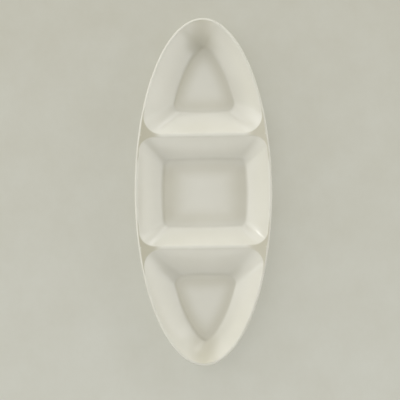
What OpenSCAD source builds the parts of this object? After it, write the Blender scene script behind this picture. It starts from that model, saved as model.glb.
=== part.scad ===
// Three-compartment relish tray, fired in one piece.
// The plan is an ellipse, cut by two dividers into a middle compartment with four walls
// and two pointed end compartments. The tray lies on its foot rings: +Z is up, +X runs
// along the tray and the origin is the centre of the plane that it stands on.

/* [Rim] */
// Length over the rim, from tip to tip
tray_length = 380; // [340:1:420]
// Width over the rim
tray_width = 149.4; // [140:0.2:170]
// Height of the rim above the table
rim_height = 30; // [27:0.5:34]
// Thickness of the rolled rim
rim_thickness = 3.4; // [2.6:0.1:4.4]

/* [Dividers] */
// Distance between the crests of the two dividers
divider_spacing = 122.8; // [110:0.2:136]
// How far the crests dip below the rim, half way across the tray
crest_dip = 3.5; // [2:0.5:6]
// How far in from the rim the crests are still falling
crest_fall_run = 62; // [45:1:66]
// Radius of the rounded crests
crest_radius = 3.8; // [2.6:0.1:5]
// Height of porcelain between a crest and the hollow under it
crest_thickness = 5.6; // [4.6:0.1:7]

/* [Compartments] */
// Run of the side walls, from the outside of the rim to the flat of the floor
side_wall_run = 32.2; // [28:0.2:34]
// Run of the middle compartment's end walls, from the crest to the flat of the floor
middle_wall_run = 26.8; // [23:0.2:31]
// Run of the end compartments' walls below the dividers, from the crest to the floor
end_wall_run = 30; // [25:0.2:34]
// Corner radius of the middle compartment at its opening
middle_corner = 13; // [9:0.5:17]
// Corner radius of the end compartments at their opening
end_corner = 15; // [10:0.5:19]
// Corner radius of the middle compartment's floor
middle_floor_corner = 4.6; // [3:0.2:7]
// Corner radius of the end compartments' floors
end_floor_corner = 6; // [4:0.2:8]
// Radius between a side wall and the floor
side_fillet = 8; // [4:0.5:9]
// Radius between a divider and the floor
divider_fillet = 9; // [5:0.5:10]
// Hollow of the walls: the degrees by which they are steeper on top and flatter at the foot
wall_bow = 5; // [1:0.5:8]

/* [Base] */
// Thickness of the floors and of the foot of the walls
floor_thickness = 4.5; // [3.5:0.1:5.5]
// Height of the foot rings under the compartments
foot_height = 2.5; // [1.8:0.1:3.5]
// Width of the foot rings where they meet the base
foot_width = 3.4; // [2.8:0.1:4]
// Rounding of the edges of the foot rings
foot_edge = 0.6; // [0.3:0.1:0.8]
// Draft of the foot rings' faces
foot_draft = 0.3; // [0:0.1:0.4]

/* [Hidden] */
glaze = "#dedacb";

half_length = tray_length / 2;
half_width = tray_width / 2;
crest_x = divider_spacing / 2;
floor_height = foot_height + floor_thickness;
crest_height = rim_height - crest_dip;

// Round of the rim and the narrow flat on its top, from which the inner walls fall
rim_radius = rim_thickness / 2;
rim_flat = rim_radius / 4;
crest_flat = crest_radius / 8;
opening_inset = rim_radius + rim_flat;

// Underside of the rim: a short straight run below the round, and the narrow roof of the
// hollow under a divider, whose corners are tighter than those of the openings above it
under_rim_run = rim_radius / 2;
roof_half_width = crest_thickness / 5;
roof_corner = floor_thickness * 1.4;
roof_blend_run = crest_thickness * 2;

// Share of the turn at the foot of the outside that the foot ring may swallow
foot_share = 0.8;

// Segments of one quarter of the plan: side, corner, divider and tip, each an even number
side_parts = 8;
corner_parts = 8;
divider_parts = 8;
tip_parts = 28;

// Segments of the rounds and straights in a section
round_parts = 3;
wall_parts = 4;
fillet_parts = 3;
nose_over_parts = 3;
nose_under_parts = 2;
nose_parts = nose_over_parts + nose_under_parts;
bisections = 26;

// Sharpness of the point where the two side walls of an end compartment would meet
tip_sharpness = 8;

function mix(a, b, t) = a + (b - a) * t;
function clamped(t) = max(0, min(1, t));
function ease(t) = t * t * (3 - 2 * t);
function steps(a, b, n) = [for (i = [1:n]) mix(a, b, i / n)];
function backwards(list) = [for (i = [len(list) - 1:-1:0]) list[i]];
function without_last(list) = [for (i = [0:len(list) - 2]) list[i]];

// The rim in plan: an ellipse, followed by its angle q, 0 at the tip and 90 at the side
function stretch(q) = norm([half_width * cos(q), half_length * sin(q)]);
function outward(q) = [half_width * cos(q), half_length * sin(q)] / stretch(q);
function on_rim(q) = [half_length * cos(q), half_width * sin(q)];

// A wall stops short of the middle of the tray, where it would meet the one across from it
function reach(q) = half_width * stretch(q) / half_length;
function eased_inset(q, inset) =
    inset / pow(1 + pow(inset / reach(q), tip_sharpness), 1 / tip_sharpness);
function inside(q, inset, further = 0) = on_rim(q) - outward(q) * (eased_inset(q, inset) + further);

// Angle at which the curve inside the rim crosses a line across the tray
function crossing(x, inset, further = 0, low = 0, high = 90, left = bisections) =
    let (q = (low + high) / 2)
    left == 0 ? q
    : inside(q, inset, further)[0] > x ? crossing(x, inset, further, q, high, left - 1)
    : crossing(x, inset, further, low, q, left - 1);

// How far a point lies inside the rim, near enough for the slope of the spandrels
function depth_inside(p) =
    let (r = norm([p[0] / half_length, p[1] / half_width]))
    (1 - r) * r / norm([p[0] / pow(half_length, 2), p[1] / pow(half_width, 2)]);

// Height of the surface that the compartments are sunk into: level at the rim, and
// falling ever more gently to the height of the crests
function saddle(p) =
    crest_height
    + crest_dip * pow(1 - clamped((depth_inside(p) - opening_inset) / crest_fall_run), 3);

// A column is one line down a wall. Every outline of a compartment has a point for each.
// side: +1 is the middle compartment, which ends at the divider, -1 the end one, which
// starts there. gap is the distance between the outline and the crest of the divider.
function corner_angle(side, inset, gap, corner) =
    crossing(crest_x - side * (gap + corner), inset, corner);
function corner_arc(side, inset, gap, corner) =
    let (q = corner_angle(side, inset, gap, corner),
         centre = inside(q, inset, corner),
         normal = outward(q),
         from = atan2(normal[1], normal[0]),
         to = side > 0 ? 0 : 180)
    [for (a = concat([from], steps(from, to, corner_parts))) centre + corner * [cos(a), sin(a)]];

// From the middle of the long side or the tip, round the corner, to the middle of the divider
function quarter_outline(side, inset, gap, corner) =
    let (q = corner_angle(side, inset, gap, corner),
         arc = corner_arc(side, inset, gap, corner),
         last = arc[corner_parts],
         start = side > 0 ? 90 : 0,
         parts = (side > 0 ? side_parts : tip_parts) / 2)
    concat(
        [for (i = [0:parts - 1]) inside(mix(start, q, i / parts), inset)],
        arc,
        [for (y = steps(last[1], 0, divider_parts / 2)) [last[0], y]]
    );

opening = [
    quarter_outline(1, opening_inset, crest_flat, middle_corner),
    quarter_outline(-1, opening_inset, crest_flat, end_corner)
];
floor_edge = [
    quarter_outline(1, side_wall_run, middle_wall_run, middle_floor_corner),
    quarter_outline(-1, side_wall_run, end_wall_run, end_floor_corner)
];

// Share of the way from rim to divider at each column: 0 along the rim, 1 along the divider
function divider_share(side) =
    let (parts = (side > 0 ? side_parts : tip_parts) / 2)
    concat(
        [for (i = [0:parts - 1]) 0],
        [for (i = [0:corner_parts]) ease(i / corner_parts)],
        [for (i = [1:divider_parts / 2]) 1]
    );
on_divider_share = [divider_share(1), divider_share(-1)];

// Angles of the columns on the rim itself, where the corner runs into the divider's crest
crest_q = crossing(crest_x, rim_radius);
crest_end = inside(crest_q, rim_radius)[1];
corner_q = [
    corner_angle(1, opening_inset, crest_flat, middle_corner),
    corner_angle(-1, opening_inset, crest_flat, end_corner)
];
tip_angles = concat([0], steps(0, corner_q[1], tip_parts / 2));
junction_angles = concat(
    steps(corner_q[1], crest_q, corner_parts / 2),
    steps(crest_q, corner_q[0], corner_parts / 2)
);
side_angles = steps(corner_q[0], 90, side_parts / 2);
quarter_angles = concat(tip_angles, junction_angles, side_angles);
rim_angles = without_last(concat(
    quarter_angles,
    [for (q = backwards(without_last(quarter_angles))) 180 - q],
    [for (i = [1:len(quarter_angles) - 1]) 180 + quarter_angles[i]],
    [for (q = backwards(without_last(quarter_angles))) 360 - q]
));

// Points along a crest from one rim to the other, without its two ends
corner_reach = (middle_corner + end_corner) / 2;
crest_ys = without_last(concat(
    steps(crest_end, crest_end - corner_reach, corner_parts / 2),
    steps(crest_end - corner_reach, corner_reach - crest_end, divider_parts),
    steps(corner_reach - crest_end, -crest_end, corner_parts / 2)
));

// A section goes from the top of a wall to its foot, as distance across and distance down.
// The wall lies between two rounds. It is slightly hollow, so its slope is wall_bow more
// than its chord's at the top and wall_bow less at the foot. An upper round that turns the
// other way, as the underside of the rim does, has a negative radius.
function rounds_across(slope, upper, lower) =
    upper * sin(slope + wall_bow) + lower * sin(slope - wall_bow);
function rounds_down(slope, upper, lower) =
    upper * (1 - cos(slope + wall_bow)) + lower * (1 - cos(slope - wall_bow));
function chord_slope(run, rise, upper, lower, low = wall_bow, high = 90 - wall_bow, left = bisections) =
    let (slope = (low + high) / 2,
         across = run - rounds_across(slope, upper, lower),
         down = rise - rounds_down(slope, upper, lower))
    left == 0 ? slope
    : down * cos(slope) > across * sin(slope) ? chord_slope(run, rise, upper, lower, slope, high, left - 1)
    : chord_slope(run, rise, upper, lower, low, slope, left - 1);
function chord_length(run, slope, upper, lower) =
    (run - rounds_across(slope, upper, lower)) / cos(slope);

// Points of the wall itself, an arc, without its start and its end
function hollow_wall(start, slope, chord) =
    [for (t = without_last(steps(0, 1, wall_parts)))
        let (a = slope + wall_bow * (1 - t))
        start + chord * sin(wall_bow * t) / sin(wall_bow) * [cos(a), sin(a)]];

// Section of the round of the rim, which turns under until it meets the outside of the
// wall. The outside wraps the fillet of the floor at the floor's thickness.
function base_radius(share) = mix(side_fillet, divider_fillet, share) + floor_thickness;
function outside_slope(q) =
    let (run = eased_inset(q, side_wall_run) - rim_radius,
         rise = rim_height - rim_thickness - foot_height)
    wall_bow + chord_slope(run, rise, -rim_radius, base_radius(0));
function nose_point(q, turned) =
    let (p = inside(q, rim_radius - rim_radius * sin(turned)))
    [p[0], p[1], rim_height - rim_radius + rim_radius * cos(turned)];
function nose_turned(q, i) =
    i <= nose_over_parts ? mix(0, 90, i / nose_over_parts)
    : mix(90, 180 - outside_slope(q), (i - nose_over_parts) / nose_under_parts);
function nose_ring(i) = [for (q = rim_angles) nose_point(q, nose_turned(q, i))];

// Height of the outside of the wall at a given run in from the rim
function outside_height(q, inset) =
    let (slope = outside_slope(q))
    rim_height - rim_radius * (1 + cos(slope))
    - (inset - rim_radius * (1 - sin(slope))) * tan(slope);
under_inset = rim_radius * (1 - sin(outside_slope(90))) + under_rim_run;

// The hollow under a divider: the saddle again, lower by the thickness of the porcelain
function hollow_height(p, q) =
    let (share = ease(clamped((depth_inside(p) - under_inset) / roof_blend_run)))
    mix(outside_height(q, under_inset), saddle(p) - crest_thickness, share);

// Sections of the inside, from the opening to the floor, and of the outside, from under the
// rim or the hollow to the foot ring
function upper_round(slope, upper) =
    [for (a = steps(0, slope, round_parts)) upper * [sin(a), 1 - cos(a)]];
function lower_round(slope, run, rise, lower, stop = 0) =
    [for (a = concat([slope], steps(slope, stop, fillet_parts)))
        [run - lower * sin(a), rise - lower * (1 - cos(a))]];
function inner_section(run, rise, upper, lower) =
    let (slope = chord_slope(run, rise, upper, lower),
         first = upper_round(slope + wall_bow, upper),
         wall = hollow_wall(first[round_parts - 1], slope, chord_length(run, slope, upper, lower)))
    concat(first, wall, lower_round(slope - wall_bow, run, rise, lower));
function outer_section(run, rise, lower) =
    let (slope = chord_slope(run, rise, 0, lower),
         turn = slope - wall_bow,
         stop = min(asin(foot_width / lower), foot_share * turn),
         wall = hollow_wall([0, 0], slope, chord_length(run, slope, 0, lower)))
    concat(wall, lower_round(turn, run, rise, lower, stop));

// Section of a foot ring, outside to inside, as distance short of the floor's flat and height
foot_section = [
    [foot_width - foot_draft, foot_edge],
    [foot_width - foot_draft - foot_edge, 0],
    [foot_draft + foot_edge, 0],
    [foot_draft, foot_edge],
    [0, foot_height]
];

// One column of the inside, from the opening down to the flat of the floor
function inner_column(top, bottom, share) =
    let (run = norm(bottom - top), aim = (bottom - top) / run, z = saddle(top))
    concat(
        [[top[0], top[1], z]],
        [for (s = inner_section(run, z - floor_height, mix(rim_radius, crest_radius, share),
                                mix(side_fillet, divider_fillet, share)))
            [top[0] + aim[0] * s[0], top[1] + aim[1] * s[0], z - s[1]]]
    );

// One column of the outside, from under the rim or the hollow down to the foot ring
function outer_column(top, bottom, share, q) =
    let (run = norm(bottom - top), aim = (bottom - top) / run, z = hollow_height(top, q))
    concat(
        [[top[0], top[1], z]],
        [for (s = outer_section(run, z - foot_height, base_radius(share)))
            [top[0] + aim[0] * s[0], top[1] + aim[1] * s[0], z - s[1]]],
        [for (s = foot_section) [bottom[0] - aim[0] * s[0], bottom[1] - aim[1] * s[0], s[1]]]
    );

// Quarter of a compartment as rings, the opening first. kind is 0 middle, 1 end
function side_of(kind) = kind == 0 ? 1 : -1;
function by_ring(columns) = [for (j = [0:len(columns[0]) - 1]) [for (c = columns) c[j]]];
function inner_quarter(kind) = by_ring([for (i = [0:len(opening[kind]) - 1])
    inner_column(opening[kind][i], floor_edge[kind][i], on_divider_share[kind][i])]);
function column_angles(kind) =
    let (start = kind == 0 ? 90 : 0,
         parts = (kind == 0 ? side_parts : tip_parts) / 2,
         q = corner_angle(side_of(kind), under_inset, roof_half_width, roof_corner))
    concat(
        [for (i = [0:parts - 1]) mix(start, q, i / parts)],
        [for (i = [0:corner_parts + divider_parts / 2]) q]
    );
function outer_quarter(kind) =
    let (top = quarter_outline(side_of(kind), under_inset, roof_half_width, roof_corner),
         angles = column_angles(kind))
    by_ring([for (i = [0:len(top) - 1])
        outer_column(top[i], floor_edge[kind][i], on_divider_share[kind][i], angles[i])]);

// A quarter mirrored into a whole ring, anticlockwise from above. The middle compartment
// starts at its divider on the right, an end compartment at its tip.
function flipped(ring, x, y) = [for (p = ring) [p[0] * x, p[1] * y, p[2]]];
function middle_ring(quarter) =
    let (out = without_last(backwards(quarter)), back = without_last(quarter))
    concat(out, flipped(back, -1, 1), flipped(out, -1, -1), flipped(back, 1, -1));
function end_ring(quarter, x) =
    let (out = without_last(quarter), back = without_last(backwards(quarter)))
    flipped(concat(out, flipped(back, 1, -1)), x, x);
function whole_ring(place, quarter) =
    place == 0 ? middle_ring(quarter) : end_ring(quarter, place);

// Points that two compartments share: the rim all the way round, then the two crests
function crest_line(x, z_of) = [for (y = crest_ys) [x, y, z_of([crest_x, y])]];
top_network = concat(
    nose_ring(0),
    crest_line(crest_x, function (p) saddle(p)),
    crest_line(-crest_x, function (p) saddle(p))
);
under_network = concat(
    nose_ring(nose_parts),
    crest_line(crest_x, function (p) hollow_height(p, crest_q)),
    crest_line(-crest_x, function (p) hollow_height(p, crest_q))
);

// Numbers of the shared points round each compartment, in the order of its rings
rim_count = len(rim_angles);
crest_count = len(crest_ys);
network_count = rim_count + 2 * crest_count;
to_crest = tip_parts / 2 + corner_parts / 2;
across_middle = corner_parts + side_parts;
right_crest = [for (i = [0:crest_count - 1]) rim_count + i];
left_crest = [for (i = [0:crest_count - 1]) rim_count + crest_count + i];
half_crest = (crest_count - 1) / 2;
function rim_run(from, to) = [for (i = [from:to]) i % rim_count];
function network_ring(place) =
    place == 0 ? concat(
        [for (i = [half_crest:-1:0]) right_crest[i]],
        rim_run(to_crest, to_crest + across_middle),
        left_crest,
        rim_run(rim_count / 2 + to_crest, rim_count / 2 + to_crest + across_middle),
        [for (i = [crest_count - 1:-1:half_crest + 1]) right_crest[i]]
    )
    : place > 0 ? concat(
        rim_run(0, to_crest),
        right_crest,
        rim_run(rim_count - to_crest, rim_count - 1)
    )
    : concat(
        rim_run(rim_count / 2, rim_count / 2 + to_crest),
        backwards(left_crest),
        rim_run(rim_count / 2 - to_crest, rim_count / 2 - 1)
    );

// Half way between the network and an opening, on the saddle
function spandrel_ring(place, ring) =
    [for (i = [0:len(ring) - 1])
        let (p = (top_network[network_ring(place)[i]] + ring[i]) / 2)
        [p[0], p[1], min(rim_height, saddle(p))]];

function inner_rings(place) =
    let (rings = [for (ring = inner_quarter(abs(place))) whole_ring(place, ring)])
    concat([spandrel_ring(place, rings[0])], rings);
function outer_rings(place) =
    [for (ring = outer_quarter(abs(place))) whole_ring(place, ring)];

// Faces of a band between two rings of point numbers, and of all the bands of a stack
function band(a, b) =
    let (n = len(a))
    [for (i = [0:n - 1]) each [[a[i], b[i], a[(i + 1) % n]], [a[(i + 1) % n], b[i], b[(i + 1) % n]]]];
function numbers(first, rings, j) =
    let (n = len(rings[0]))
    [for (i = [0:n - 1]) first + j * n + i];
function fan(ring, hub) =
    let (n = len(ring))
    [for (i = [0:n - 1]) [ring[i], hub, ring[(i + 1) % n]]];
function stack_faces(network, first, rings) =
    let (last = len(rings) - 1)
    concat(
        band(network, numbers(first, rings, 0)),
        [for (j = [0:last - 1]) each band(numbers(first, rings, j), numbers(first, rings, j + 1))],
        fan(numbers(first, rings, last), first + point_count(rings) - 1)
    );
function turned_over(faces) = [for (f = faces) backwards(f)];

// The points of a stack: its rings, and last the middle of the flat that closes it
function flat_list(rings) = [for (ring = rings) each ring];
function middle_of(ring) = [for (p = ring) 1] * ring / len(ring);
function stack_points(rings) = concat(flat_list(rings), [middle_of(rings[len(rings) - 1])]);
function point_count(rings) = len(rings) * len(rings[0]) + 1;

// The rim, the inside and the outside of the three compartments as one closed surface
module tray() {
    places = [0, 1, -1];
    inner = [for (place = places) inner_rings(place)];
    outer = [for (place = places) outer_rings(place)];
    noses = [for (i = [1:nose_parts - 1]) nose_ring(i)];

    inner_start = 2 * network_count;
    sizes = concat([for (rings = inner) point_count(rings)], [for (rings = outer) point_count(rings)]);
    starts = [for (i = 0, at = inner_start; i <= len(sizes); at = at + (i < len(sizes) ? sizes[i] : 0),
                   i = i + 1) at];
    nose_start = starts[len(sizes)];

    points = concat(
        top_network,
        under_network,
        flat_list([for (rings = inner) stack_points(rings)]),
        flat_list([for (rings = outer) stack_points(rings)]),
        flat_list(noses)
    );

    nose_numbers = concat(
        [rim_run(0, rim_count - 1)],
        [for (i = [0:nose_parts - 2]) numbers(nose_start, noses, i)],
        [[for (i = [0:rim_count - 1]) network_count + i]]
    );
    faces = concat(
        [for (i = [0:len(places) - 1]) each stack_faces(network_ring(places[i]), starts[i], inner[i])],
        [for (i = [0:len(places) - 1]) each turned_over(stack_faces(
            [for (k = network_ring(places[i])) network_count + k],
            starts[len(places) + i], outer[i]))],
        [for (i = [0:nose_parts - 1]) each turned_over(band(nose_numbers[i], nose_numbers[i + 1]))]
    );
    color(glaze)
        polyhedron(points = points, faces = faces, convexity = 6);
}

tray();
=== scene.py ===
"""The relish tray's looks: one shell of glazed porcelain on a plain pale floor, seen from above.

Metres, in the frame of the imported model: +Z up, +X along the tray, the origin at the centre of
the plane that the tray stands on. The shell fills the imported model's box and is worked out in the
same way, with many more sections, so that its curves are smooth. Some corners and runs and the
dish of the floors follow the picture more closely than the model does, and move the surface by a
few millimetres at most.
"""

import math

import bpy
import numpy as np
from mathutils import Matrix, Vector


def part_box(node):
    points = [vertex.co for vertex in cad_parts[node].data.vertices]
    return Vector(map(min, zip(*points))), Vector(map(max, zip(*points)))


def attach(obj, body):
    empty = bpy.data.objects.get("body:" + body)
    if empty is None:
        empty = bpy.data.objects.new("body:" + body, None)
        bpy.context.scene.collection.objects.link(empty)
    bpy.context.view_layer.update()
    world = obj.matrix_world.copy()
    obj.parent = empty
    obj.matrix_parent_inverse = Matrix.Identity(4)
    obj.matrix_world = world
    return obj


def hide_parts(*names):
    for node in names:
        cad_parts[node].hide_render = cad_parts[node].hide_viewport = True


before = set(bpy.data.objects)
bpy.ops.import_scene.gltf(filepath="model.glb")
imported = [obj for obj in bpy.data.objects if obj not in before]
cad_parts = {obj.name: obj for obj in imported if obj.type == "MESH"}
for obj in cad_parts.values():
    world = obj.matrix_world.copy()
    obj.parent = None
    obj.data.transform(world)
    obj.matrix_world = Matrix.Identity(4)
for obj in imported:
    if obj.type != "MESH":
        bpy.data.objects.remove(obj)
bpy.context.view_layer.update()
_, tray_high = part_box("tray")

# Overall sizes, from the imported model
HALF_LENGTH = tray_high.x
HALF_WIDTH = tray_high.y
RIM_HEIGHT = tray_high.z

# Rim and dividers
RIM_RADIUS = 0.0017
CREST_X = 0.0614
CREST_DIP = 0.0035
CREST_FALL_RUN = 0.040
CREST_RADIUS = 0.0038
CREST_THICKNESS = 0.0056

# Compartments. The floors are dished, with FLOOR_TILT as their slope at the edge. Their points
# under the tray's tips are rounded off from POINT_START on, and stay short of POINT_END.
SIDE_WALL_RUN = 0.0310
MIDDLE_WALL_RUN = 0.0268
END_WALL_RUN = 0.0300
MIDDLE_CORNER = 0.017
END_CORNER = 0.019
MIDDLE_FLOOR_CORNER = 0.0065
END_FLOOR_CORNER = 0.008
SIDE_FILLET = 0.008
DIVIDER_FILLET = 0.009
WALL_BOW = math.radians(5)
FLOOR_TILT = math.radians(2.4)
POINT_START = 0.148
POINT_END = 0.1615

# Base
FLOOR_THICKNESS = 0.0045
FOOT_HEIGHT = 0.0025
FOOT_WIDTH = 0.0034
FOOT_EDGE = 0.0006
FOOT_DRAFT = 0.0003
FOOT_SHARE = 0.8

# Sizes that follow from those above
FLOOR_HEIGHT = FOOT_HEIGHT + FLOOR_THICKNESS
CREST_HEIGHT = RIM_HEIGHT - CREST_DIP
RIM_FLAT = RIM_RADIUS / 4
CREST_FLAT = CREST_RADIUS / 8
OPENING_INSET = RIM_RADIUS + RIM_FLAT
UNDER_RIM_RUN = RIM_RADIUS / 2
ROOF_HALF_WIDTH = CREST_THICKNESS / 5
ROOF_CORNER = FLOOR_THICKNESS * 1.4
ROOF_BLEND_RUN = CREST_THICKNESS * 2
FOOT_EDGE_MIDDLE = FOOT_EDGE * 0.3

# Segments of a quarter of the plan
SIDE_PARTS = 14
CORNER_PARTS = 20
DIVIDER_PARTS = 14
TIP_PARTS = 44

# Segments of the parts of a section
SPANDREL_PARTS = 6
ROUND_PARTS = 8
WALL_PARTS = 10
FILLET_PARTS = 10
NOSE_OVER_PARTS = 10
NOSE_UNDER_PARTS = 8
NOSE_PARTS = NOSE_OVER_PARTS + NOSE_UNDER_PARTS

# Depth of the darker, browner colour, which is part glaze pooling and part painted shade, where 1
# is the most that the colours are written for: at the foot of the walls, on the rings of a floor
# from its edge in, on the spandrels at the ends of the dividers, and in the valleys under the tips
FILLET_POOL_AND_SHADE = 0.55
FLOOR_POOLS_AND_SHADE = (0.5, 0.34, 0.16, 0.04, 0.0, 0.0)
SPANDREL_POOL_AND_SHADE = 0.8
VALLEY_POOL_AND_SHADE = 0.62

# Where the glaze pooling and painted shade lie: in the valleys from VALLEY_START on along the
# tray, and on the spandrels from SPANDREL_START on across it, up to SPANDREL_REACH from a crest. In
# the wells they have THIN_SHARE of their depth up to THIN_REACH from a crest. Each RUN is the way
# over which they come or go.
VALLEY_START = 0.146
VALLEY_RUN = 0.018
VALLEY_HALF_WIDTH = 0.022
SPANDREL_START = 0.044
SPANDREL_REACH = 0.034
SPANDREL_RUN = 0.012
THIN_REACH = 0.024
THIN_RUN = 0.014
THIN_SHARE = 0.25

# Other settings of the shapes
BISECTIONS = 40
TIP_SHARPNESS = 8
TINY = 1e-9
MIDDLE, END = 1, -1


def mix(a, b, t):
    return a + (b - a) * t


def ease(t):
    return t * t * (3 - 2 * t)


def clamped(t):
    return min(max(t, 0), 1)


def rise(value, start, run):
    """0 up to the start, and then eased up to 1 over the run."""
    return ease(clamped((value - start) / run))


def steps(a, b, count):
    """The count values after a that lead to b in even steps."""
    return [mix(a, b, i / count) for i in range(1, count + 1)]


# The rim in plan is an ellipse, followed by its angle q: 0 at the tip, a quarter turn at the side


def stretch(q):
    return math.hypot(HALF_WIDTH * math.cos(q), HALF_LENGTH * math.sin(q))


def outward(q):
    return np.array([HALF_WIDTH * math.cos(q), HALF_LENGTH * math.sin(q)]) / stretch(q)


def eased_inset(q, inset):
    """An inset that stops short of the tray's middle, where it would meet the one across."""
    reach = HALF_WIDTH * stretch(q) / HALF_LENGTH
    return inset / (1 + (inset / reach) ** TIP_SHARPNESS) ** (1 / TIP_SHARPNESS)


def inside(q, inset, further=0.0):
    """The point that lies inset, and then further, inside the rim at angle q."""
    on_rim = np.array([HALF_LENGTH * math.cos(q), HALF_WIDTH * math.sin(q)])
    return on_rim - outward(q) * (eased_inset(q, inset) + further)


def crossing(x, inset, further=0.0):
    """Angle at which the curve inside the rim crosses a line across the tray."""
    low, high = 0.0, math.pi / 2
    for _ in range(BISECTIONS):
        q = (low + high) / 2
        if inside(q, inset, further)[0] > x:
            low = q
        else:
            high = q
    return (low + high) / 2


def depth_inside(p):
    """How far a point lies inside the rim, near enough for the slope of the spandrels."""
    r = math.hypot(p[0] / HALF_LENGTH, p[1] / HALF_WIDTH)
    return (1 - r) * r / max(math.hypot(p[0] / HALF_LENGTH**2, p[1] / HALF_WIDTH**2), TINY)


def saddle(p):
    """Height of the surface that the compartments are sunk into, level at the rim."""
    share = clamped((depth_inside(p) - OPENING_INSET) / CREST_FALL_RUN)
    return CREST_HEIGHT + CREST_DIP * (1 - share) ** 3


def corner_angle(side, inset, gap, corner):
    """Angle on the rim at which the corner between a long side and a divider begins."""
    return crossing(CREST_X - side * (gap + corner), inset, corner)


def corner_arc(side, inset, gap, corner):
    """The corner's round, from the long side to the divider."""
    q = corner_angle(side, inset, gap, corner)
    centre = inside(q, inset, corner)
    normal = outward(q)
    start = math.atan2(normal[1], normal[0])
    end = 0 if side == MIDDLE else math.pi
    angles = [start] + steps(start, end, CORNER_PARTS)
    return [centre + corner * np.array([math.cos(a), math.sin(a)]) for a in angles]


def quarter_outline(side, inset, gap, corner):
    """From the middle of the long side, or the tip, round the corner to the divider's middle."""
    q = corner_angle(side, inset, gap, corner)
    arc = corner_arc(side, inset, gap, corner)
    start, parts = (math.pi / 2, SIDE_PARTS) if side == MIDDLE else (0, TIP_PARTS)
    along = [inside(mix(start, q, i / parts), inset) for i in range(parts)]
    across = [np.array([arc[-1][0], y]) for y in steps(arc[-1][1], 0, DIVIDER_PARTS)]
    return along + arc + across


def divider_share(side):
    """How far each column of a quarter is a divider's: 0 along the rim, 1 along the divider."""
    parts = SIDE_PARTS if side == MIDDLE else TIP_PARTS
    corner = [ease(i / CORNER_PARTS) for i in range(CORNER_PARTS + 1)]
    return [0] * parts + corner + [1] * DIVIDER_PARTS


def column_angles(side):
    """Angle on the rim that each column of a quarter belongs to."""
    start, parts = (math.pi / 2, SIDE_PARTS) if side == MIDDLE else (0, TIP_PARTS)
    q = corner_angle(side, UNDER_INSET, ROOF_HALF_WIDTH, ROOF_CORNER)
    along = [mix(start, q, i / parts) for i in range(parts)]
    return along + [q] * (CORNER_PARTS + 1 + DIVIDER_PARTS)


# A section is a list of (distance across, distance down) from the top of a wall to its foot:
# an optional round, a wall that is slightly hollow, and the round into the floor. An upper
# round that turns the other way, as the underside of the rim does, has a negative radius.


def fitted_wall(run, depth, upper, lower):
    """Mean slope and chord length of the wall that fits between its two rounds."""
    low, high = WALL_BOW, math.pi / 2 - WALL_BOW
    for _ in range(BISECTIONS):
        slope = (low + high) / 2
        top, foot = slope + WALL_BOW, slope - WALL_BOW
        across = run - upper * math.sin(top) - lower * math.sin(foot)
        down = depth - upper * (1 - math.cos(top)) - lower * (1 - math.cos(foot))
        if down * math.cos(slope) > across * math.sin(slope):
            low = slope
        else:
            high = slope
    return slope, across / math.cos(slope)


def hollow_wall(start, slope, chord):
    """Points along an arc that starts WALL_BOW steeper than its chord and ends WALL_BOW flatter."""
    points = []
    for t in steps(0, 1, WALL_PARTS):
        reach = chord * math.sin(WALL_BOW * t) / math.sin(WALL_BOW)
        angle = slope + WALL_BOW * (1 - t)
        points.append((start[0] + reach * math.cos(angle), start[1] + reach * math.sin(angle)))
    return points


def inner_section(run, depth, upper, lower):
    """Down the inside of a compartment, from its edge to its floor."""
    slope, chord = fitted_wall(run, depth, upper, lower)
    over = [(upper * math.sin(a), upper * (1 - math.cos(a)))
            for a in steps(0, slope + WALL_BOW, ROUND_PARTS)]
    into = [(run - lower * math.sin(a), depth - lower * (1 - math.cos(a)))
            for a in steps(slope - WALL_BOW, FLOOR_TILT, FILLET_PARTS)]
    return [(0.0, 0.0)] + over + hollow_wall(over[-1], slope, chord) + into


def outer_section(run, depth, lower):
    """Down the outside, or a side of the hollow under a divider, to the foot ring. The last round
    ends there, or where FOOT_SHARE of its turn is left, whichever comes later."""
    slope, chord = fitted_wall(run, depth, 0, lower)
    turn = slope - WALL_BOW
    stop = min(math.asin(FOOT_WIDTH / lower), FOOT_SHARE * turn)
    into = [(run - lower * math.sin(a), depth - lower * (1 - math.cos(a)))
            for a in steps(turn, stop, FILLET_PARTS)]
    return [(0.0, 0.0)] + hollow_wall((0.0, 0.0), slope, chord) + into


# A foot ring from its outer side to its inner one: distance short of the inner edge, and height
FOOT_SECTION = [
    (FOOT_WIDTH - FOOT_DRAFT, FOOT_EDGE),
    (FOOT_WIDTH - FOOT_DRAFT - FOOT_EDGE_MIDDLE, FOOT_EDGE_MIDDLE),
    (FOOT_WIDTH - FOOT_DRAFT - FOOT_EDGE, 0.0),
    (FOOT_DRAFT + FOOT_EDGE, 0.0),
    (FOOT_DRAFT + FOOT_EDGE_MIDDLE, FOOT_EDGE_MIDDLE),
    (FOOT_DRAFT, FOOT_EDGE),
    (0.0, FOOT_HEIGHT),
]


def base_radius(share):
    """Radius of the outside's round into the base, the floor's thickness over the inside's."""
    return mix(SIDE_FILLET, DIVIDER_FILLET, share) + FLOOR_THICKNESS


def outside_slope(q):
    """Slope at the top of the outside, where it leaves the round of the rim."""
    run = eased_inset(q, SIDE_WALL_RUN) - RIM_RADIUS
    depth = RIM_HEIGHT - 2 * RIM_RADIUS - FOOT_HEIGHT
    return WALL_BOW + fitted_wall(run, depth, -RIM_RADIUS, base_radius(0))[0]


UNDER_INSET = RIM_RADIUS * (1 - math.sin(outside_slope(math.pi / 2))) + UNDER_RIM_RUN


def outside_height(q, inset):
    """Height of the outside just under the rim, at an inset from the rim at angle q."""
    slope = outside_slope(q)
    start = RIM_RADIUS * (1 - math.sin(slope))
    return RIM_HEIGHT - RIM_RADIUS * (1 + math.cos(slope)) - (inset - start) * math.tan(slope)


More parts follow.
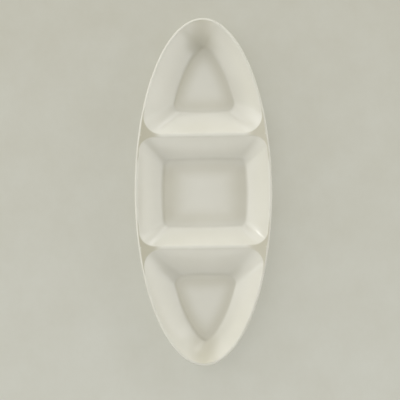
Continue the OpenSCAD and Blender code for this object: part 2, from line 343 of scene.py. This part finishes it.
def hollow_height(p, q):
    """The hollow under a divider: the saddle again, lower by the thickness of the porcelain."""
    share = rise(depth_inside(p), UNDER_INSET, ROOF_BLEND_RUN)
    return mix(outside_height(q, UNDER_INSET), saddle(p) - CREST_THICKNESS, share)


def column(top, bottom, z, section, foot=()):
    """A section set up between a point of the opening and one of the floor's edge."""
    aim = (bottom - top) / np.linalg.norm(bottom - top)
    wall = [(*(top + aim * across), z - down) for across, down in section]
    return wall + [(*(bottom - aim * short), height) for short, height in foot]


def inner_quarter(side):
    """Rings of a quarter of a compartment's inside, from its edge down to its floor."""
    corner = MIDDLE_CORNER if side == MIDDLE else END_CORNER
    tops = quarter_outline(side, OPENING_INSET, CREST_FLAT, corner)
    columns = []
    for top, bottom, share in zip(tops, blunt(floor_edge(side)), divider_share(side)):
        z = saddle(top)
        section = inner_section(np.linalg.norm(bottom - top), z - FLOOR_HEIGHT,
                                mix(RIM_RADIUS, CREST_RADIUS, share),
                                mix(SIDE_FILLET, DIVIDER_FILLET, share))
        columns.append(column(top, bottom, z, section))
    return np.swapaxes(np.array(columns), 0, 1)


def outer_quarter(side):
    """Rings of a quarter of the outside under a compartment, down to its foot ring."""
    tops = quarter_outline(side, UNDER_INSET, ROOF_HALF_WIDTH, ROOF_CORNER)
    places = zip(tops, floor_edge(side), divider_share(side), column_angles(side))
    columns = []
    for top, bottom, share, q in places:
        z = hollow_height(top, q)
        section = outer_section(np.linalg.norm(bottom - top), z - FOOT_HEIGHT, base_radius(share))
        columns.append(column(top, bottom, z, section, FOOT_SECTION))
    return np.swapaxes(np.array(columns), 0, 1)


def floor_edge(side):
    """The edge of a quarter of a floor, where the walls' rounds end."""
    if side == MIDDLE:
        return quarter_outline(side, SIDE_WALL_RUN, MIDDLE_WALL_RUN, MIDDLE_FLOOR_CORNER)
    return quarter_outline(side, SIDE_WALL_RUN, END_WALL_RUN, END_FLOOR_CORNER)


def blunt(edge):
    """The floor's edge, with the point under the tray's tip rounded off."""
    room = POINT_END - POINT_START

    def shortened(x):
        return x if x < POINT_START else POINT_START + room * math.tanh((x - POINT_START) / room)

    return [np.array([shortened(x), y]) for x, y in edge]


def whole_ring(place, quarter):
    """A quarter's rings, mirrored into whole ones that run anticlockwise from above. The place
    is 0 for the middle compartment, whose rings start at its divider, and +1 or -1 for an end
    one, whose rings start at its tip."""
    if place == 0:
        out, back = quarter[::-1][:-1], quarter[:-1]
        parts = [out, back * (-1, 1, 1), out * (-1, -1, 1), back * (1, -1, 1)]
    else:
        out, back = quarter[:-1], quarter[::-1][:-1] * (1, -1, 1)
        parts = [out * (place, place, 1), back * (place, place, 1)]
    return np.concatenate(parts)


# The points that compartments share: the rim, and the crests of the two dividers


def rim_angle_list():
    """Angles of the rim's points, all the way round from the tip at +X."""
    corner_end = corner_angle(END, OPENING_INSET, CREST_FLAT, END_CORNER)
    corner_middle = corner_angle(MIDDLE, OPENING_INSET, CREST_FLAT, MIDDLE_CORNER)
    quarter = ([0.0] + steps(0, corner_end, TIP_PARTS)
               + steps(corner_end, CREST_Q, CORNER_PARTS // 2)
               + steps(CREST_Q, corner_middle, CORNER_PARTS // 2)
               + steps(corner_middle, math.pi / 2, SIDE_PARTS))
    half = quarter + [math.pi - q for q in quarter[-2::-1]]
    return half[:-1] + [math.pi + q for q in half[:-1]]


def crest_y_list():
    """How far across the tray each of a crest's points lies, from the +Y end to the other."""
    end = inside(CREST_Q, RIM_RADIUS)[1]
    reach = (MIDDLE_CORNER + END_CORNER) / 2
    return (steps(end, end - reach, CORNER_PARTS // 2)
            + steps(end - reach, reach - end, 2 * DIVIDER_PARTS)
            + steps(reach - end, -end, CORNER_PARTS // 2))[:-1]


CREST_Q = crossing(CREST_X, RIM_RADIUS)
RIM_ANGLES = rim_angle_list()
CREST_YS = crest_y_list()


def nose_ring(i):
    """Ring i of the round of the rim, from its top over the outside and under."""
    points = []
    for q in RIM_ANGLES:
        turned = mix(0, math.pi / 2, i / NOSE_OVER_PARTS)
        if i > NOSE_OVER_PARTS:
            under = (i - NOSE_OVER_PARTS) / NOSE_UNDER_PARTS
            turned = mix(math.pi / 2, math.pi - outside_slope(q), under)
        p = inside(q, RIM_RADIUS * (1 - math.sin(turned)))
        points.append((*p, RIM_HEIGHT - RIM_RADIUS * (1 - math.cos(turned))))
    return np.array(points)


def crest_lines(height_of):
    """Points along the crest at +X, and then along the one at -X."""
    return np.array([(x, y, height_of((CREST_X, y))) for x in (CREST_X, -CREST_X) for y in CREST_YS])


def network_ring(place):
    """Numbers of the shared points round a compartment, in the order of its rings: those of the
    rim come first, then those of the crest at +X and those of the one at -X."""
    rim, crest = len(RIM_ANGLES), len(CREST_YS)
    plus = list(range(rim, rim + crest))
    minus = list(range(rim + crest, rim + 2 * crest))
    to_crest = TIP_PARTS + CORNER_PARTS // 2
    middle = CORNER_PARTS + 2 * SIDE_PARTS
    half = (crest - 1) // 2

    def run(a, b):
        return [i % rim for i in range(a, b + 1)]

    if place == 0:
        return (plus[half::-1] + run(to_crest, to_crest + middle) + minus
                + run(rim // 2 + to_crest, rim // 2 + to_crest + middle) + plus[:half:-1])
    if place > 0:
        return run(0, to_crest) + plus + run(rim - to_crest, rim - 1)
    return run(rim // 2, rim // 2 + to_crest) + minus[::-1] + run(rim // 2 - to_crest, rim // 2 - 1)


class Surface:
    """Points and faces, gathered ring by ring. Each point has its depth of glaze pooling and
    painted shade, which is given for a ring as one value or as a function of the point."""

    def __init__(self):
        self.points = []
        self.pools_and_shade = []
        self.faces = []

    def add(self, points, pool_and_shade=0.0):
        first = len(self.points)
        self.points += [tuple(p) for p in points]
        self.pools_and_shade += [pool_and_shade(p) for p in points] if callable(pool_and_shade) else [pool_and_shade] * len(points)
        return list(range(first, first + len(points)))

    def band(self, a, b, turned):
        """Faces between two rings of point numbers, turned over where they look down."""
        for i in range(len(a)):
            j = (i + 1) % len(a)
            face = (a[i], b[i], b[j], a[j])
            self.faces.append(face[::-1] if turned else face)

    def extend(self, ring, points, turned, pool_and_shade=0.0):
        """Adds points as the next ring, with the band that leads to it, and returns the ring."""
        following = self.add(points, pool_and_shade)
        self.band(ring, following, turned)
        return following

    def close(self, ring, turned, tilt=0.0, pools_and_shade=(0.0,) * len(FLOOR_POOLS_AND_SHADE)):
        """What lies inside a ring, as smaller and smaller rings round its middle. With a tilt it
        is dished: it falls away from the ring at that slope and is level in the middle."""
        edge = np.array([self.points[i] for i in ring])
        middle = edge.mean(axis=0)
        reach = np.linalg.norm(edge - middle, axis=1).mean()
        middle[2] -= reach * tilt / 2
        for t, pool_and_shade in zip(steps(0, 1, len(pools_and_shade) + 1), pools_and_shade):
            points = mix(edge, middle, t)
            points[:, 2] = mix(edge[:, 2], middle[2], 1 - (1 - t) ** 2)
            ring = self.extend(ring, points, turned, pool_and_shade)
        hub = self.add([middle])[0]
        for i in range(len(ring)):
            face = (ring[i], hub, ring[(i + 1) % len(ring)])
            self.faces.append(face[::-1] if turned else face)


def from_crest(p):
    """How far along the tray a point lies from the nearer crest."""
    return abs(abs(p[0]) - CREST_X)


def valley_share(p):
    """1 in the valley under a tip, where the walls run together, and 0 away from it."""
    across = clamped(1 - abs(p[1]) / VALLEY_HALF_WIDTH)
    return rise(abs(p[0]), VALLEY_START, VALLEY_RUN) * ease(across)


def spandrel_pool_and_shade(p):
    """Glaze pooling and painted shade on the spandrels at the ends of a crest. The crest's middle
    and the rim have none.
    """
    along = clamped((SPANDREL_REACH - from_crest(p)) / SPANDREL_RUN)
    return SPANDREL_POOL_AND_SHADE * rise(abs(p[1]), SPANDREL_START, SPANDREL_RUN) * ease(along)


def pooled_and_shaded(level, above=0.0):
    """Glaze pooling and painted shade of a ring of points in a well: deep under the side walls,
    shallow under the dividers. It keeps the share of the spandrels' depth that above gives."""
    def pool_and_shade(p):
        share = mix(THIN_SHARE, 1, rise(from_crest(p), THIN_REACH, THIN_RUN))
        depth = mix(level * share, VALLEY_POOL_AND_SHADE, valley_share(p))
        return max(depth, above * spandrel_pool_and_shade(p))
    return pool_and_shade


def spandrel_rings(outer, opening):
    """Rings on the saddle, from the rim and the crests in towards the edge of a compartment."""
    rings = []
    for t in steps(0, 1, SPANDREL_PARTS)[:-1]:
        flat = mix(outer, opening, t)
        rings.append([(x, y, min(RIM_HEIGHT, saddle((x, y)))) for x, y, _ in flat])
    return rings


def add_well(surface, place, quarter, tops):
    """A compartment: what lies round its edge, its walls and its dished floor. The walls have
    glaze pooling and painted shade in the round at their foot, and the floor has them from its edge
    in."""
    ring = [tops[k] for k in network_ring(place)]
    outer = np.array([surface.points[k] for k in ring])
    for points in spandrel_rings(outer, whole_ring(place, quarter[0])):
        ring = surface.extend(ring, points, False, spandrel_pool_and_shade)
    # Painted shade with glaze pooling, deepening down the round at the foot of the walls
    levels = ([0.0] * (1 + ROUND_PARTS + WALL_PARTS)
              + [FILLET_POOL_AND_SHADE * ease(i / FILLET_PARTS) for i in range(FILLET_PARTS)])
    for k, (points, level) in enumerate(zip(quarter, levels)):
        above = ease(clamped(1 - k / (ROUND_PARTS + 1)))
        ring = surface.extend(ring, whole_ring(place, points), False, pooled_and_shaded(level, above))
    # The floor darkens from its edge in: painted shade with glaze pooling
    surface.close(ring, False, FLOOR_TILT, [pooled_and_shaded(level) for level in FLOOR_POOLS_AND_SHADE])


def add_base(surface, place, quarter, unders):
    """The outside under a compartment, with its foot ring and what lies inside that."""
    ring = [unders[k] for k in network_ring(place)]
    for points in quarter:
        ring = surface.extend(ring, whole_ring(place, points), True)
    surface.close(ring, True)


def add_rim(surface, tops, unders):
    """The round of the rim, between the points that its top and its underside share."""
    rim = len(RIM_ANGLES)
    ring = tops[:rim]
    for i in range(1, NOSE_PARTS):
        ring = surface.extend(ring, nose_ring(i), True)
    surface.band(ring, unders[:rim], True)


def tray_surface():
    """The whole shell. Compartments share their points along the rim and along the crests."""
    surface = Surface()
    quarters = {side: (inner_quarter(side), outer_quarter(side)) for side in (MIDDLE, END)}
    tops = surface.add(nose_ring(0)) + surface.add(crest_lines(saddle), spandrel_pool_and_shade)
    unders = (surface.add(nose_ring(NOSE_PARTS))
              + surface.add(crest_lines(lambda p: hollow_height(p, CREST_Q))))
    for place in (0, 1, -1):
        inner, outer = quarters[MIDDLE if place == 0 else END]
        add_well(surface, place, inner, tops)
        add_base(surface, place, outer, unders)
    add_rim(surface, tops, unders)
    return surface


def placed_object(name, data):
    piece = bpy.data.objects.new(name, data)
    bpy.context.scene.collection.objects.link(piece)
    return piece


# Attribute of the mesh that holds the depth of glaze pooling and painted shade
POOL_AND_SHADE = "pool_and_shade"


def mesh_object(name, surface):
    mesh = bpy.data.meshes.new(name)
    mesh.from_pydata(surface.points, [], surface.faces)
    mesh.attributes.new(POOL_AND_SHADE, "FLOAT", "POINT").data.foreach_set("value", surface.pools_and_shade)
    mesh.validate()
    mesh.shade_smooth()
    return placed_object(name, mesh)


# Where the node that mixes colours keeps its factor, its two colours and its result
COLOUR_MIX_INPUTS = (0, 6, 7)
COLOUR_MIX_OUTPUT = 2


class Nodes:
    """A new material, with short ways to add to its nodes. A value that a node is given is
    either a plain one or another node's output."""

    def __init__(self, name):
        self.material = bpy.data.materials.new(name)
        self.material.use_nodes = True
        self.tree = self.material.node_tree
        self.shader = self.tree.nodes["Principled BSDF"]

    def put(self, socket, value):
        if isinstance(value, bpy.types.NodeSocket):
            self.tree.links.new(value, socket)
        else:
            socket.default_value = value

    def add(self, kind, **inputs):
        node = self.tree.nodes.new(kind)
        for key, value in inputs.items():
            self.put(node.inputs[key.replace("_", " ")], value)
        return node

    def place(self):
        """The point that is shaded, in the object's own metres."""
        return self.add("ShaderNodeTexCoord").outputs["Object"]

    def along(self, axis):
        return self.add("ShaderNodeSeparateXYZ", Vector=self.place()).outputs[axis]

    def noise(self, scale, detail, roughness):
        return self.add("ShaderNodeTexNoise", Vector=self.place(), Scale=scale, Detail=detail,
                        Roughness=roughness).outputs["Fac"]

    def worked_out(self, operation, *values):
        """The result of an operation on one or more values."""
        node = self.tree.nodes.new("ShaderNodeMath")
        node.operation = operation
        for socket, value in zip(node.inputs, values):
            self.put(socket, value)
        return node.outputs[0]

    def tone(self, factor, low, high):
        """A colour that runs from low to high as the factor runs from 0 to 1."""
        blend = self.tree.nodes.new("ShaderNodeMix")
        blend.data_type = "RGBA"
        factor_socket, low_socket, high_socket = (blend.inputs[k] for k in COLOUR_MIX_INPUTS)
        self.put(factor_socket, factor)
        self.put(low_socket, low)
        self.put(high_socket, high)
        return blend.outputs[COLOUR_MIX_OUTPUT]

    def spread(self, value, low, high, to_low=0.0, to_high=1.0):
        """The value, stretched so that low becomes to_low and high becomes to_high."""
        return self.add("ShaderNodeMapRange", Value=value, From_Min=low, From_Max=high,
                        To_Min=to_low, To_Max=to_high).outputs["Result"]


# Noises: scale per metre, detail and roughness. The part of their range from NOISE_LOW to
# NOISE_HIGH is stretched to run from 0 to 1.
CLOUD = (26.0, 3.0, 0.5)
RIPPLE = (38.0, 2.0, 0.4)
MOTTLE = (14.0, 8.0, 0.7)
NOISE_LOW = 0.3
NOISE_HIGH = 0.7

# Glaze: its colours where it is thin and where it is deep with glaze pooling and painted shade, its
# finish, its faint cloud as added depth of that colour, and its faint ripple
GLAZE = (0.76, 0.744, 0.645, 1)
# The deep colour stands for glaze pooling and for painted shade in the hollows
POOLED_GLAZE_AND_SHADE = (0.547, 0.517, 0.388, 1)
GLAZE_ROUGHNESS = 0.15
GLAZE_IOR = 1.52
CLOUD_DEPTH = 0.12
RIPPLE_HEIGHT = 0.0004
RIPPLE_STRENGTH = 0.35

# Bare porcelain under the foot rings, and the heights over which the glaze begins
BARE_PORCELAIN = (0.74, 0.72, 0.66, 1)
BARE_ROUGHNESS = 0.62
GLAZE_START = FOOT_EDGE * 0.1
GLAZE_FULL = FOOT_EDGE * 0.5


def glaze_material():
    """Glaze that is deeper in colour where it gathers and where shade is painted, slightly uneven,
    and absent from the faces that the foot rings stand on."""
    nodes = Nodes("glazed_porcelain")
    # Depth of glaze pooling and painted shade, read from the mesh
    pool_and_shade = nodes.tree.nodes.new("ShaderNodeAttribute")
    pool_and_shade.attribute_name = POOL_AND_SHADE
    cloud = nodes.spread(nodes.noise(*CLOUD), NOISE_LOW, NOISE_HIGH)
    depth = nodes.worked_out("MULTIPLY_ADD", cloud, CLOUD_DEPTH, pool_and_shade.outputs["Fac"])
    glazed = nodes.spread(nodes.along("Z"), GLAZE_START, GLAZE_FULL)
    colour = nodes.tone(glazed, BARE_PORCELAIN, nodes.tone(depth, GLAZE, POOLED_GLAZE_AND_SHADE))
    roughness = nodes.spread(glazed, 0.0, 1.0, BARE_ROUGHNESS, GLAZE_ROUGHNESS)
    bump = nodes.add("ShaderNodeBump", Strength=RIPPLE_STRENGTH, Distance=RIPPLE_HEIGHT,
                     Height=nodes.noise(*RIPPLE))
    nodes.put(nodes.shader.inputs["IOR"], GLAZE_IOR)
    nodes.put(nodes.shader.inputs["Base Color"], colour)
    nodes.put(nodes.shader.inputs["Roughness"], roughness)
    nodes.put(nodes.shader.inputs["Normal"], bump.outputs["Normal"])
    return nodes.material


# The floor: its colours, the share of its brightness that is its own, and its slow change of
# tone along X, which counts TREND times as much as its mottle: the floor is lightest at
# -TREND_REACH and darkest at TREND_REACH
FLOOR_LIGHT = (0.615, 0.615, 0.54, 1)
FLOOR_DARK = (0.535, 0.522, 0.435, 1)
FLOOR_ROUGHNESS = 0.85
FLOOR_OWN_LIGHT = 0.66
FLOOR_HALF_SIZE = 6.0
TREND = 1.2
TREND_REACH = 0.22


def floor_material():
    """A pale, faintly mottled floor. Part of its brightness is its own, for the camera and for
    reflections, so that it stays as pale as it is written and the tray's shadow on it is light."""
    nodes = Nodes("pale_floor")
    mottle = nodes.spread(nodes.noise(*MOTTLE), NOISE_LOW, NOISE_HIGH)
    trend = nodes.spread(nodes.along("X"), TREND_REACH, -TREND_REACH)
    both = nodes.worked_out("MULTIPLY_ADD", trend, TREND, mottle)
    colour = nodes.tone(nodes.spread(both, 0.0, 1 + TREND), FLOOR_DARK, FLOOR_LIGHT)
    nodes.put(nodes.shader.inputs["Base Color"], colour)
    nodes.put(nodes.shader.inputs["Roughness"], FLOOR_ROUGHNESS)
    path = nodes.add("ShaderNodeLightPath").outputs
    seen = nodes.worked_out("MAXIMUM", path["Is Camera Ray"], path["Is Glossy Ray"])
    own_light = nodes.worked_out("MULTIPLY", seen, FLOOR_OWN_LIGHT)
    blend = nodes.add("ShaderNodeMixShader", Fac=own_light)
    nodes.put(blend.inputs[1], nodes.shader.outputs["BSDF"])
    nodes.put(blend.inputs[2], nodes.add("ShaderNodeEmission", Color=colour).outputs["Emission"])
    nodes.put(nodes.tree.nodes["Material Output"].inputs["Surface"], blend.outputs["Shader"])
    return nodes.material


def plain_floor():
    mesh = bpy.data.meshes.new("floor")
    corners = [(x * FLOOR_HALF_SIZE, y * FLOOR_HALF_SIZE, 0)
               for x, y in ((-1, -1), (1, -1), (1, 1), (-1, 1))]
    mesh.from_pydata(corners, [], [(0, 1, 2, 3)])
    mesh.materials.append(floor_material())
    piece = placed_object("floor", mesh)


# Camera: over the tray, as the photograph looks at it. Up in the picture is +X, right is -Y. It
# stands back and to the right by shares of its height over the rim. PICTURE is the picture's side
# in pixels, PIXEL a pixel's size at the rim, and CENTRE_PIXEL where the tray's middle is seen.
# SENSOR is in millimetres.
PICTURE = 400
PIXEL = 0.0010824
CENTRE_PIXEL = (203.2, 190.42)
CAMERA_HEIGHT = 3.0
CAMERA_BACK = 0.130
CAMERA_RIGHT = 0.070
ROLL = math.radians(-0.4)
SENSOR = 36
CLIP_END = 20


def photo_camera():
    data = bpy.data.cameras.new("camera")
    camera = placed_object("camera", data)
    target = Vector((0, 0, RIM_HEIGHT))
    eye = target + CAMERA_HEIGHT * Vector((-CAMERA_BACK, -CAMERA_RIGHT, 1))
    back = (eye - target).normalized()
    right = Vector((1, 0, 0)).cross(back).normalized()
    turn = Matrix((right, back.cross(right), back)).transposed().to_4x4()
    camera.matrix_world = Matrix.Translation(eye) @ turn @ Matrix.Rotation(ROLL, 4, "Z")
    data.sensor_fit = "HORIZONTAL"
    data.sensor_width = SENSOR
    data.lens = SENSOR * (eye - target).length / (PICTURE * PIXEL)
    data.shift_x = -(CENTRE_PIXEL[0] - PICTURE / 2) / PICTURE
    data.shift_y = (CENTRE_PIXEL[1] - PICTURE / 2) / PICTURE
    data.clip_end = CLIP_END
    bpy.context.scene.camera = camera


# Soft boxes round the tray: azimuth from and to, counted from +X towards +Y, elevation from and
# to, in degrees, and how bright each looks next to a white surface in plain light, which is 1
SOFT_BOXES = {
    "spark": (55, 59, 5.6, 8.8, 16),
    "window_a": (48, 58, 4.7, 12, 2.1),
    "window_b": (58, 72, 4.7, 14, 2.69),
    "window_c": (72, 92, 4.7, 14, 2.24),
    "window_d": (50, 68, 14, 28, 1.9),
    "window_e": (68, 92, 14, 28, 1.79),
    "window_f": (44, 92, 28, 48, 1.01),
    "ahead_low": (-30, 48, 5, 18, 1.8),
    "ahead_high": (-32, 46, 24, 37, 2.1),
    "ahead_top": (-20, 60, 44, 62, 0.67),
    "behind_low": (140, 220, 5, 18, 1.57),
    "behind_high": (150, 210, 18, 40, 0.9),
    "left": (96, 140, 8, 36, 1.12),
    "left_top": (60, 120, 50, 70, 1.4),
    "right_low": (230, 310, 5, 20, 1.57),
    "right_high": (240, 300, 20, 34, 1.79),
    "right_ahead": (302, 345, 6, 36, 1.01),
}
BOX_DISTANCE = 3.0

# Two panels overhead, one in the other, which the floors of the wells mirror: half their
# angles across and along, in degrees, and brightness. PANEL_DIRECTION points to their middle.
PANELS = ((11.5, 19, 1.5), (6.5, 12, 1.9))
PANEL_DIRECTION = Vector((0.130, 0.150, 1)).normalized()

WORLD_LIGHT = 0.17
WHITE = (1.0, 1.0, 1.0, 1)


def lamp_size(half_angle):
    """Size that a lamp at BOX_DISTANCE has to have to be seen at twice this angle."""
    return 2 * BOX_DISTANCE * math.tan(math.radians(half_angle))


def area_lamp(name, shape, size, direction, brightness):
    """An area lamp that faces the tray, and that the camera doesn't see."""
    data = bpy.data.lights.new(name, "AREA")
    data.shape = shape
    data.size, data.size_y = size
    filled = math.pi / 4 if shape == "ELLIPSE" else 1
    data.energy = brightness * math.pi * filled * data.size * data.size_y
    lamp = placed_object(name, data)
    lamp.location = BOX_DISTANCE * direction
    lamp.rotation_euler = (-direction).to_track_quat("-Z", "Y").to_euler()
    lamp.visible_camera = False
    return lamp


def soft_box(name, azimuths, elevations, brightness):
    """A lamp that fills a range of azimuths and one of elevations."""
    azimuth, elevation = (math.radians(sum(pair) / 2) for pair in (azimuths, elevations))
    wide, high = (lamp_size((pair[1] - pair[0]) / 2) for pair in (azimuths, elevations))
    level = math.cos(elevation)
    direction = Vector((math.cos(azimuth) * level, math.sin(azimuth) * level, math.sin(elevation)))
    area_lamp(name, "RECTANGLE", (wide * level, high), direction, brightness)


def panel(name, across, along, brightness):
    """A panel whose long side lies along the tray."""
    size = (lamp_size(along), lamp_size(across))
    lamp = area_lamp(name, "ELLIPSE", size, PANEL_DIRECTION, brightness)
    side = PANEL_DIRECTION.cross(Vector((1, 0, 0))).normalized()
    turn = Matrix((side.cross(PANEL_DIRECTION), side, PANEL_DIRECTION)).transposed().to_4x4()
    lamp.matrix_world = Matrix.Translation(BOX_DISTANCE * PANEL_DIRECTION) @ turn


def world_light():
    """Even light from all sides."""
    world = bpy.data.worlds.new("world")
    world.use_nodes = True
    background = world.node_tree.nodes["Background"]
    background.inputs["Color"].default_value = WHITE
    background.inputs["Strength"].default_value = WORLD_LIGHT
    bpy.context.scene.world = world


tray = mesh_object("tray_shell", tray_surface())
tray.data.materials.append(glaze_material())
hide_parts("tray")
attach(tray, "root")

plain_floor()
photo_camera()
for name, (a0, a1, e0, e1, brightness) in SOFT_BOXES.items():
    soft_box(name, (a0, a1), (e0, e1), brightness)
for number, (across, along, brightness) in enumerate(PANELS):
    panel(f"panel_{number}", across, along, brightness)
world_light()

bpy.context.scene.view_settings.view_transform = "Standard"
